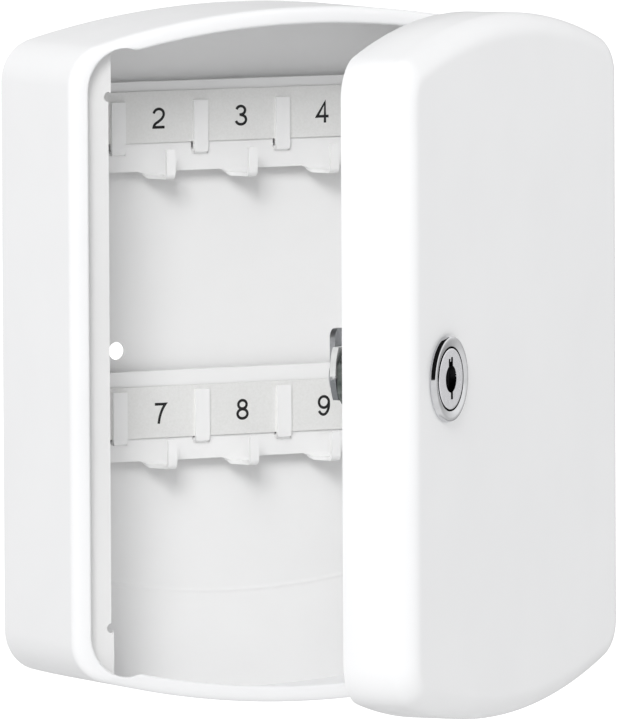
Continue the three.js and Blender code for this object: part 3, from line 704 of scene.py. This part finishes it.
def clip_rows(x, plate_y, foot_z, top_z):
    """Rows of points from the window's lower edge forward and up the clip's tongue."""
    front = plate_y - CLIP_FORWARD
    drop = 0.35
    path = [(plate_y, foot_z), (plate_y - 0.5, foot_z - drop * 0.6)]
    path += [(front + 0.45, foot_z - drop), (front + 0.12, foot_z - drop + 0.15), (front, foot_z + 0.3)]
    path += [(front, foot_z + 1.2), (front, (foot_z + top_z) / 2), (front, top_z)]
    # The tongue is a little narrower where it bends forward
    shares = [1, 1, 0.86, 0.92, 0.97, 1, 1, 1]
    rows = []
    for (y, z), share in zip(path, shares):
        width = CLIP_WIDTH * share
        rows.append([(x + width * (k / CLIP_COLUMNS - 0.5), y, z) for k in range(CLIP_COLUMNS + 1)])
    return rows


# ---- Label strips ----


CARD_THICKNESS = 0.24
DIGIT_CENTRE = 0.475          # share of the strip's height
DIGIT_HEIGHT = 5.87
FIGURE_STROKE = 0.13          # in heights of the figure, as the strokes below are
FIGURE_PITCH = 0.72
INK_PROUD = 0.03
STROKE_LIFT = 0.006           # each further stroke of a figure stands this much higher


def make_label(row, first_number):
    """A label strip in its rail, with the numbers of its row printed on it."""
    low, high = box_mm(f"label_strip_{row}")
    columns, rows = 60, 4
    front, back = [], []
    for i in range(columns + 1):
        x = low.x + (high.x - low.x) * i / columns
        y = card_front(low, x)
        zs = [low.z + (high.z - low.z) * k / rows for k in range(rows + 1)]
        front.append([(x, y, z) for z in zs])
        back.append([(x, y + CARD_THICKNESS, z) for z in zs])
    loops = [near + far[::-1] for near, far in zip(front, back)]
    vertices, faces = capped_loft(loops)
    strip = piece(f"label_card_{row}", vertices, faces, "case", "label_strip", CARD, [f"label_strip_{row}"])
    bevel(strip, 0.05, segments=1)
    for i in range(HOOKS_PER_ROW):
        number(first_number + i, hook_x(i), low.z + DIGIT_CENTRE * (high.z - low.z), low)


def card_front(low, x):
    """Y of the card's printed face: card never lies quite flat."""
    return low.y + 0.12 + 0.03 * math.sin(0.21 * x) + 0.015 * math.sin(0.47 * x + 1)


def sweep(cx, cz, rx, rz, start_deg, end_deg, steps=20):
    """Points along an elliptical arc."""
    turns = [math.radians(start_deg + (end_deg - start_deg) * i / steps) for i in range(steps + 1)]
    return [(cx + rx * math.cos(t), cz + rz * math.sin(t)) for t in turns]


def bend_between(first, pull, last, steps=10):
    """Points along a quadratic curve, its first one left out."""
    points = []
    for i in range(1, steps + 1):
        t = i / steps
        weights = ((1 - t) ** 2, 2 * t * (1 - t), t * t)
        points.append(tuple(sum(w * p[k] for w, p in zip(weights, (first, pull, last))) for k in (0, 1)))
    return points


def figure_strokes(figure):
    """Middle lines of a plain upright figure, one high and centred on its middle."""
    edge = 0.5 - FIGURE_STROKE / 2
    if figure == "0":
        return [sweep(0, 0, 0.27, edge, 90, 450, 40)]
    if figure == "1":
        return [[(0.07, -0.5), (0.07, 0.5)], bend_between((-0.17, 0.29), (0.03, 0.28), (0.07, 0.47))]
    if figure == "2":
        top = sweep(0, 0.19, 0.27, edge - 0.19, 172, -20)
        neck = bend_between(top[-1], (0.19, -0.06), (-0.08, -0.20), 6)
        foot = bend_between(neck[-1], (-0.27, -0.30), (-0.28, -edge), 8)
        return [top + neck + foot + [(0.31, -edge)]]
    if figure == "3":
        return [sweep(-0.01, 0.235, 0.235, edge - 0.235, 165, -90) + [(-0.08, 0.022)],
                sweep(0, -0.213, 0.275, edge - 0.213, 90, -167)]
    if figure == "4":
        return [[(0.13, -0.5), (0.13, 0.47), (-0.30, -0.19), (0.33, -0.19)]]
    if figure == "5":
        bowl = sweep(0, -0.135, 0.275, edge - 0.135, 150, -160)
        return [[(0.27, edge), (-0.17, edge), (-0.23, -0.01)] + bowl]
    if figure == "6":
        return [sweep(0, -0.165, 0.27, edge - 0.165, 90, 450, 32),
                sweep(0.03, -0.04, 0.30, edge + 0.04, 38, 195)]
    if figure == "7":
        stem = bend_between((0.27, edge), (-0.03, 0.07), (-0.10, -0.5), 14)
        return [[(-0.30, edge), (0.27, edge)] + stem]
    if figure == "8":
        return [sweep(0, 0.235, 0.225, edge - 0.235, 90, 450, 32),
                sweep(0, -0.213, 0.27, edge - 0.213, 90, 450, 32)]
    # A nine is a six turned over
    return [[(-x, -z) for x, z in stroke] for stroke in figure_strokes("6")]


SHARPEST_MITRE = 0.45         # a stroke's outer corner grows no longer than half its width over this


def stroke_sides(points):
    """The two edges of a stroke drawn along a line of points."""
    closed = math.dist(points[0], points[-1]) < TINY
    middle = points[:-1] if closed else points
    count = len(middle)
    left, right = [], []
    for i, point in enumerate(middle):
        before = middle[i - 1] if closed or i else point
        after = middle[(i + 1) % count] if closed or i < count - 1 else point
        into = Vector(point) - Vector(before)
        onward = Vector(after) - Vector(point)
        into = into.normalized() if into.length > 0 else onward.normalized()
        onward = onward.normalized() if onward.length > 0 else into
        along = (into + onward).normalized()
        reach = FIGURE_STROKE / 2 / max(along.dot(into), SHARPEST_MITRE)
        side = Vector((-along.y, along.x)) * reach
        left.append(Vector(point) + side)
        right.append(Vector(point) - side)
    return left, right, closed


def number(value, x, z, low):
    """A printed number: raised black figures, a hair proud of the card."""
    text = str(value)
    vertices, faces = [], []
    for place, figure in enumerate(text):
        shift = (place - (len(text) - 1) / 2) * FIGURE_PITCH
        for order, stroke in enumerate(figure_strokes(figure)):
            left, right, closed = stroke_sides(stroke)
            proud = INK_PROUD + STROKE_LIFT * order
            base, count = len(vertices), len(left)
            for i in range(count):
                for side in (left[i], right[i]):
                    across = x + (side.x + shift) * DIGIT_HEIGHT
                    height = z + side.y * DIGIT_HEIGHT
                    paper = card_front(low, across)
                    vertices.append((across, paper - proud, height))
                    vertices.append((across, paper + INK_PROUD, height))
            for i in range(count if closed else count - 1):
                here, there = base + 4 * i, base + 4 * ((i + 1) % count)
                for a, b in ((0, 1), (1, 3), (3, 2), (2, 0)):
                    faces.append((here + a, here + b, there + b, there + a))
            if not closed:
                last = base + 4 * (count - 1)
                faces.append((base, base + 2, base + 3, base + 1))
                faces.append((last, last + 1, last + 3, last + 2))
    piece(f"figure_{value}", vertices, faces, "case", "label_ink", INK)


# ---- Door ----


def at(v):
    """Y at a depth v in front of the shut door's rear edge."""
    return DOOR_BACK - v


def make_door():
    """The pressed door: a dish with a rounded rear edge, straight walls and a filleted flat face."""
    outer_wall, inner_wall = arched(0), arched(SHEET)
    edge, edge_steps, fillet_steps = 0.45, 4, 14
    rings = []
    for i in range(edge_steps + 1):
        t = math.pi * i / edge_steps
        share = 0.5 + 0.5 * math.cos(t)
        rings.append(between(outer_wall, inner_wall, share, at(edge - edge * math.sin(t))))
    rings.append(ring(outer_wall, at(DOOR_DEPTH * 0.4)))
    for i in range(fillet_steps + 1):
        t = math.pi / 2 * i / fillet_steps
        inset = DOOR_FILLET * (1 - math.cos(t))
        rings.append(ring(arched(inset), at(DOOR_DEPTH - DOOR_FILLET * (1 - math.sin(t)))))
    rings.append(ring(arched(DOOR_FACE_INSET), at(DOOR_DEPTH)))
    vertices, faces = loft(rings)
    count = len(outer_wall)
    faces.append(tuple(range(len(vertices) - count, len(vertices))))

    inner_fillet, inner_depth = DOOR_FILLET - SHEET, DOOR_DEPTH - SHEET
    inner = [ring(arched(DOOR_FACE_INSET), at(inner_depth))]
    for i in range(fillet_steps + 1):
        t = math.pi / 2 * (1 - i / fillet_steps)
        inset = SHEET + inner_fillet * (1 - math.cos(t))
        inner.append(ring(arched(inset), at(inner_depth - inner_fillet * (1 - math.sin(t)))))
    base = len(vertices)
    inner_vertices, inner_faces = loft(inner)
    vertices += inner_vertices
    faces += [tuple(base + k for k in face) for face in inner_faces]
    faces.append(tuple(base + k for k in range(count)))
    last = base + len(inner_vertices) - count
    faces += [(k, (k + 1) % count, last + (k + 1) % count, last + k) for k in range(count)]
    made = piece("door_panel", vertices, faces, "door", "coated_steel", OUTSIDE, ["door_shell"], swung=True)
    reach = 2 * SHEET
    hole = rod(LOCK_HOLE_RADIUS, LOCK_X, 0, at(DOOR_DEPTH + reach), at(inner_depth - reach))
    cut(made, hinge_rooms() + [hole], swung=True)


# ---- Lock ----

housing_low, housing_high = shut_box("lock_housing")
plug_low, plug_high = shut_box("lock_plug")
ROSETTE_RADIUS = (housing_high.x - housing_low.x) / 2
PLUG_RADIUS = (plug_high.x - plug_low.x) / 2
PLUG_PROUD = 1.3              # in front of the door's face, as the next one is
ROSETTE_PROUD = 1.6
PLUG_TAIL_RADIUS = 6.6        # of the part inside the barrel
PLUG_TAIL_BACK = 8.4          # behind the shut door's rear edge
ROSETTE_BORE = PLUG_RADIUS + 0.5
BORE_SHADE = 1.2              # the bore is painted with shade up to here above the door's face
BARREL_START = 0.6            # below the door's face
BARREL_RADIUS = 9.25
BARREL_FLAT = 8.0             # from the axis to each flat
BARREL_BORE = 6.85
THREAD_PITCH = 1.0
THREAD_DEPTH = 0.45
THREAD_ROWS = 6               # of points in each turn of the thread
BARREL_SEGMENTS = 96
FRONT_SEGMENTS = 160          # round the rosette and the plug


def darken(made, in_shade):
    """Paints shade: gives the near-black shade material to faces picked by distance from the lock's axis and
    by depth.
    """
    if len(made.data.materials) == 1:
        made.data.materials.append(PAINTED_SHADE_METAL)
    unswing = SWING.inverted()
    for face in made.data.polygons:
        centre = unswing @ (face.center / MM)
        if in_shade(math.hypot(centre.x - LOCK_X, centre.z), DOOR_BACK - centre.y):
            face.material_index = 1


def make_housing():
    """The rounded rosette and the barrel behind it, bored for the plug."""
    seat, bore, outer = DOOR_DEPTH, ROSETTE_BORE, ROSETTE_RADIUS
    crest, barrel_top = seat + ROSETTE_PROUD, seat - BARREL_START
    profile = [
        (bore, barrel_top), (bore, seat + 1.17), (bore + 0.03, seat + 1.22), (bore + 0.1, seat + 1.25),
        (outer - 1.5, crest - 0.03), (outer - 1.2, crest), (outer - 0.95, crest), (outer - 0.7, crest - 0.03),
        (outer - 0.5, crest - 0.09), (outer - 0.4, crest - 0.16), (outer - 0.33, crest - 0.3),
        (outer - 0.2, crest - 0.62), (outer - 0.08, crest - 0.95), (outer, seat + 0.42),
        (outer, seat + 0.1), (outer - 0.05, seat + 0.02), (9.3, seat + 0.02), (9.3, barrel_top),
        (bore, barrel_top),
    ]
    vertices, faces = lathe([(r, at(v)) for r, v in profile], LOCK_X, 0, FRONT_SEGMENTS)
    made = piece("lock_rosette", vertices, faces, "door", "chrome", CHROME, ["lock_housing"],
                 swung=True, sharp_deg=60)
    # painted shade on the bore's wall round the plug
    darken(made, lambda radius, depth: radius < bore + 0.02 and depth < seat + BORE_SHADE)
    barrel = threaded_barrel(barrel_top)
    # the barrel's near-black steel is painted shade
    piece("lock_barrel", *barrel, "door", "chrome", BARREL_SHADE_STEEL, swung=True, sharp_deg=40)


def threaded_barrel(front):
    """A round barrel with two flats and a fine helical thread, open at the back for the plug."""
    back = DOOR_BACK - housing_high.y
    rows = int((front - back) / THREAD_PITCH * THREAD_ROWS)
    turns = [2 * math.pi * k / BARREL_SEGMENTS for k in range(BARREL_SEGMENTS)]
    rings = []
    for i in range(rows + 1):
        v = back + (front - back) * i / rows
        points = []
        for k, turn in enumerate(turns):
            phase = (v / THREAD_PITCH + k / BARREL_SEGMENTS) % 1
            r = BARREL_RADIUS - THREAD_DEPTH * abs(2 * phase - 1)
            x = min(max(r * math.cos(turn), -BARREL_FLAT), BARREL_FLAT)
            points.append((LOCK_X + x, at(v), r * math.sin(turn)))
        rings.append(points)
    for v in (front, back):
        bored = [(BARREL_BORE * math.cos(turn), BARREL_BORE * math.sin(turn)) for turn in turns]
        rings.append([(LOCK_X + x, at(v), z) for x, z in bored])
    return loft(rings, ends_closed=True)


def make_plug():
    """The plug: a satin face just behind the rosette's crest, with the dished keyway in its middle."""
    front, shoulder = DOOR_DEPTH + PLUG_PROUD, DOOR_DEPTH - 0.3
    r, tail = PLUG_RADIUS, PLUG_TAIL_RADIUS
    profile = [
        (0, front), (5.6, front), (7.7, front), (r - 0.12, front), (r - 0.03, front - 0.03), (r, front - 0.1),
        (r, front - 0.14), (r, shoulder), (tail, shoulder), (tail, -PLUG_TAIL_BACK), (0, -PLUG_TAIL_BACK),
    ]
    vertices, faces = lathe([(a, at(v)) for a, v in profile], LOCK_X, 0, FRONT_SEGMENTS)
    made = piece("lock_plug_body", vertices, faces, "lock_core", "chrome", SATIN_CHROME, ["lock_plug"],
                 swung=True)
    clear, floor, deep = at(front + 1), at(front - 1.6), at(4)
    dish = [(0, clear), (3.9, clear), (3.7, at(front - 0.2)), (3.3, floor), (0, floor)]
    # The keyway's slots: left and right ends from the lock's axis, then foot and top
    slots = [(-1.6, -0.45, 0, 5.5), (0, 1.3, 0, 5.9), (-1.3, 1.25, -0.2, 4.7), (-0.2, 1.2, -5.6, 0.2)]
    cutters = [lathe(dish, LOCK_X, 0, CUTTER_SEGMENTS)]
    for left, right, foot, top in slots:
        cutters.append(brick(LOCK_X + left, LOCK_X + right, clear, deep, foot, top))
    cut(made, cutters, swung=True)
    keyway_reach = 6
    # painted shade in the keyway's recess and slots
    darken(made, lambda radius, depth: radius < keyway_reach and 0 < depth < front - 0.06)
    # painted shade: a dark band on the plug's side, in the gap round it
    darken(made, lambda radius, depth: radius > tail + 0.1 and depth < front - 0.13)


# ---- Floor, light and camera ----

# The point looked at and the distance to it, in millimetres
TARGET = Vector((4.73, -30, -2.49))
AZIMUTH_DEG = 28.514          # to the left of straight in front
ELEVATION_DEG = 4.354
DISTANCE = 3626.6
ROLL_DEG = -0.277
LENS_MM = 649.9


def looking(azimuth_deg, elevation_deg):
    """Unit vector towards the cabinet from a place azimuth to the left and elevation above."""
    a, e = math.radians(azimuth_deg), math.radians(elevation_deg)
    return Vector((math.sin(a) * math.cos(e), math.cos(a) * math.cos(e), -math.sin(e)))


def make_camera():
    data = bpy.data.cameras.new("camera")
    data.lens = LENS_MM
    data.sensor_width = 36
    data.clip_start = 0.1
    data.clip_end = 100
    made = bpy.data.objects.new("camera", data)
    bpy.context.scene.collection.objects.link(made)
    sight = looking(AZIMUTH_DEG, ELEVATION_DEG)
    made.location = (TARGET - sight * DISTANCE) * MM
    aim = sight.to_track_quat("-Z", "Y")
    roll = Matrix.Rotation(math.radians(ROLL_DEG), 4, "Z")
    made.rotation_euler = (aim.to_matrix().to_4x4() @ roll).to_euler()
    bpy.context.scene.camera = made


LIGHT_DISTANCE = 2.2          # metres
# Azimuth and elevation in degrees, width in metres and power in watts
LIGHTS = {
    "key": (38, 28, 0.8, 21.5),
    "high": (38, 46, 0.9, 5),
    "overhead": (0, 89, 1.6, 11.5),
    "right": (-60, 20, 1.5, 6.5),
}


def soft_light(name, azimuth_deg, elevation_deg, size, energy):
    """A round light that no camera sees and no surface mirrors."""
    data = bpy.data.lights.new(name, "AREA")
    data.shape = "DISK"
    data.size = size
    data.energy = energy
    made = bpy.data.objects.new(name, data)
    bpy.context.scene.collection.objects.link(made)
    sight = looking(azimuth_deg, elevation_deg)
    made.location = -sight * LIGHT_DISTANCE
    made.rotation_euler = sight.to_track_quat("-Z", "Y").to_euler()
    made.visible_camera = False
    made.visible_glossy = False


# The surroundings' strength above the horizon, below it, and below it as glossy surfaces mirror it
ABOVE, BELOW, MIRRORED = 0.44, 0.95, 0.85
# Patches that glossy surfaces mirror: azimuth and elevation of the middle, the angles from it at which
# the patch begins to fade and ends, and the share of the light that it keeps
DARK_CEILING = (20, 70, 73, 75, 0.01)
DIM_CORNER = (-150, -25, 25, 60, 0.35)


def make_world():
    """White surroundings, in which glossy surfaces mirror a dark ceiling and a dim corner behind the
    cabinet, while a camera sees plain white."""
    world = bpy.data.worlds.new("studio")
    world.use_nodes = True
    tree = world.node_tree
    background = tree.nodes["Background"]
    direction = tree.nodes.new("ShaderNodeTexCoord").outputs["Generated"]

    def share(value, low, high):
        """How far a value has come from low to high, from 0 to 1."""
        node = tree.nodes.new("ShaderNodeMapRange")
        node.inputs["From Min"].default_value = low
        node.inputs["From Max"].default_value = high
        tree.links.new(value, node.inputs["Value"])
        return node.outputs["Result"]

    def blend(factor, first, second):
        node = tree.nodes.new("ShaderNodeMix")
        tree.links.new(factor, node.inputs["Factor"])
        for socket, value in (("A", first), ("B", second)):
            if isinstance(value, (int, float)):
                node.inputs[socket].default_value = value
            else:
                tree.links.new(value, node.inputs[socket])
        return node.outputs["Result"]

    def kept(azimuth_deg, elevation_deg, near_deg, far_deg, left_over):
        """What a patch leaves of the light from each direction."""
        aim = tree.nodes.new("ShaderNodeVectorMath")
        aim.operation = "DOT_PRODUCT"
        aim.inputs[1].default_value = -looking(azimuth_deg, elevation_deg)
        tree.links.new(direction, aim.inputs[0])
        near, far = math.cos(math.radians(near_deg)), math.cos(math.radians(far_deg))
        return blend(share(aim.outputs["Value"], far, near), 1.0, left_over)

    def product(first, second):
        node = tree.nodes.new("ShaderNodeMath")
        node.operation = "MULTIPLY"
        tree.links.new(first, node.inputs[0])
        tree.links.new(second, node.inputs[1])
        return node.outputs["Value"]

    height = tree.nodes.new("ShaderNodeSeparateXYZ")
    tree.links.new(direction, height.inputs["Vector"])
    upward = share(height.outputs["Z"], -0.02, 0.02)
    rays = tree.nodes.new("ShaderNodeLightPath").outputs
    ceiling = blend(upward, MIRRORED, kept(*DARK_CEILING))
    mirror = product(ceiling, kept(*DIM_CORNER))
    glow = blend(rays["Is Glossy Ray"], blend(upward, BELOW, ABOVE), mirror)
    tree.links.new(blend(rays["Is Camera Ray"], glow, 1.0), background.inputs["Strength"])
    background.inputs["Color"].default_value = (1, 1, 1, 1)
    bpy.context.scene.world = world


def make_floor():
    """A wide pale floor below the cabinet, which throws no light or shade on it."""
    size, drop = 30, 0.35
    z = cad_box[0].z - drop
    mesh = bpy.data.meshes.new("floor")
    corners = [(-size, -size, z), (size, -size, z), (size, size, z), (-size, size, z)]
    mesh.from_pydata(corners, [], [(0, 1, 2, 3)])
    material, _, shader, _ = node_material("pale_floor")
    shader.inputs["Base Color"].default_value = (0.9, 0.9, 0.9, 1)
    shader.inputs["Roughness"].default_value = 0.9
    shader.inputs["Emission Color"].default_value = (1, 1, 1, 1)
    shader.inputs["Emission Strength"].default_value = 1.05
    mesh.materials.append(material)
    floor = bpy.data.objects.new("floor", mesh)
    bpy.context.scene.collection.objects.link(floor)
    floor.visible_diffuse = False
    floor.visible_glossy = False
    floor.visible_shadow = False


def restyle_cad_nodes():
    """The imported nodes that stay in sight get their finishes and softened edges."""
    wafers = 5
    # the channels' darker coat is painted shade
    finishes = {
        "strike_channel": CHANNEL_SHADE_COAT, "hinge_channel": CHANNEL_SHADE_COAT, "lock_nut": ZINC, "lock_stop_washer": STEEL,
        "lock_cam": ZINC, "lock_cam_screw": ZINC,
    }
    for place in ("upper", "lower"):
        for part in ("case_leaf", "door_leaf", "pin"):
            finishes[f"hinge_{place}_{part}"] = ZINC
    for i in range(wafers):
        finishes[f"lock_wafer_{i + 1}"] = BRASS
    for name, finish in finishes.items():
        node = frame["nodes"][name]
        node.data.materials.clear()
        node.data.materials.append(finish)
        bevel(node, 0.12)


make_case()
make_back()
make_rail("upper")
make_rail("lower")
make_label("upper", 1)
make_label("lower", 6)
make_door()
make_housing()
make_plug()
restyle_cad_nodes()

make_camera()
make_floor()
make_world()
for light, settings in LIGHTS.items():
    soft_light(light, *settings)

scene = bpy.context.scene
scene.view_settings.view_transform = "Standard"
scene.view_settings.look = "None"
